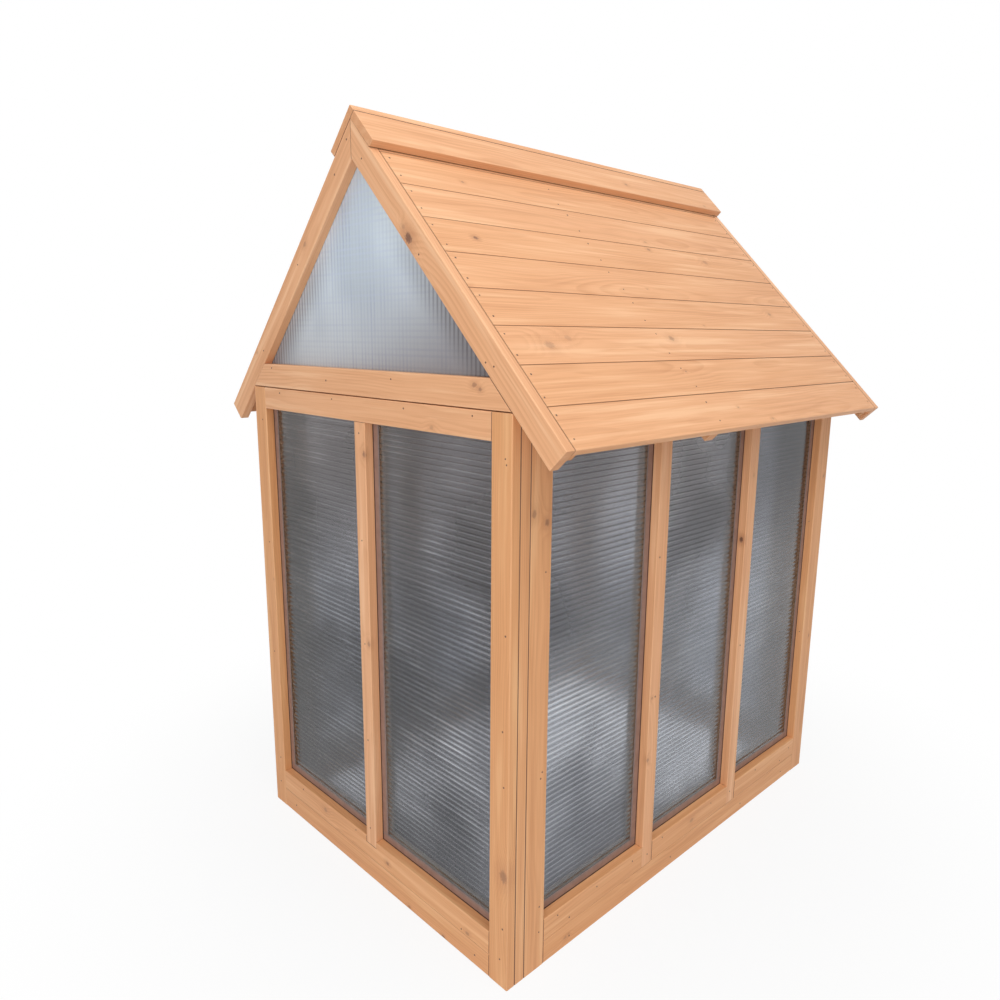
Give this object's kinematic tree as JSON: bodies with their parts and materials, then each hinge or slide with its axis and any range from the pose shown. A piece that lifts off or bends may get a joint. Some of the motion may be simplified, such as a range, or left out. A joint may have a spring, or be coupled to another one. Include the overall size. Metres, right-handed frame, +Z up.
{
  "type": "greenhouse",
  "caption": "Timber-framed greenhouse with twin-wall glazed walls and gables, a boarded pitched roof with a ridge cap, and a hinged glazed rear door with a sliding bolt.",
  "frame": {"origin": "on the ground, at the middle of the four walls in plan", "axes": "+X to the right wall across the gables, +Y along the ridge to the door end, +Z up"},
  "size_m": [1.1228, 1.216, 1.6455],
  "materials": {
    "fir": "clear-stained planed fir, satin",
    "twin_wall": "fluted twin-wall polycarbonate, grey-blue and half clear",
    "zinc": "bright zinc plate"
  },
  "bodies": {
    "house": {"bolt_keeper": "zinc", "corner_post_left": "fir", "corner_post_right": "fir", "door_header": "fir", "door_stop": "fir", "door_threshold": "fir", "front_barge_left": "fir", "front_barge_right": "fir", "front_gable_rail": "fir", "front_gable_sheet": "twin_wall", "front_inner_rafters": "fir", "front_kickboard": "fir", "front_mullion": "fir", "front_sheet": "twin_wall", "front_sill": "fir", "front_stile_left": "fir", "front_stile_right": "fir", "front_top_rail": "fir", "glazing_battens": "fir", "hinge_pins": "zinc", "hinge_plates_jamb": "zinc", "jamb_left": "fir", "jamb_right": "fir", "left_front_stile": "fir", "left_kickboard": "fir", "left_mullion_1": "fir", "left_mullion_2": "fir", "left_rear_stile": "fir", "left_sheet": "twin_wall", "left_sill": "fir", "left_top_rail": "fir", "mid_rafters": "fir", "rear_barge_left": "fir", "rear_barge_right": "fir", "rear_gable_rail": "fir", "rear_gable_sheet": "twin_wall", "rear_inner_rafters": "fir", "ridge_cap_left": "fir", "ridge_cap_right": "fir", "right_front_stile": "fir", "right_kickboard": "fir", "right_mullion_1": "fir", "right_mullion_2": "fir", "right_rear_stile": "fir", "right_sheet": "twin_wall", "right_sill": "fir", "right_top_rail": "fir", "roof_boards_left": "fir", "roof_boards_right": "fir"},
    "door": {"bolt_guides": "zinc", "door_battens": "fir", "door_bottom_rail": "fir", "door_hinge_stile": "fir", "door_latch_stile": "fir", "door_mullion": "fir", "door_pull": "fir", "door_sheet": "twin_wall", "door_top_rail": "fir", "hinge_plates_door": "zinc"},
    "bolt": {"bolt_rod": "zinc"}
  },
  "joints": [
    {"name": "door_swing", "type": "hinge", "parent": "house", "child": "door", "pos_m": [0.3755, 0.5983, 0.55], "axis": [0, 0, -1], "range_deg": [0, 170]},
    {"name": "bolt_slide", "type": "slide", "parent": "door", "child": "bolt", "axis": [-1, 0, 0], "range_m": [0, 0.016]}
  ]
}
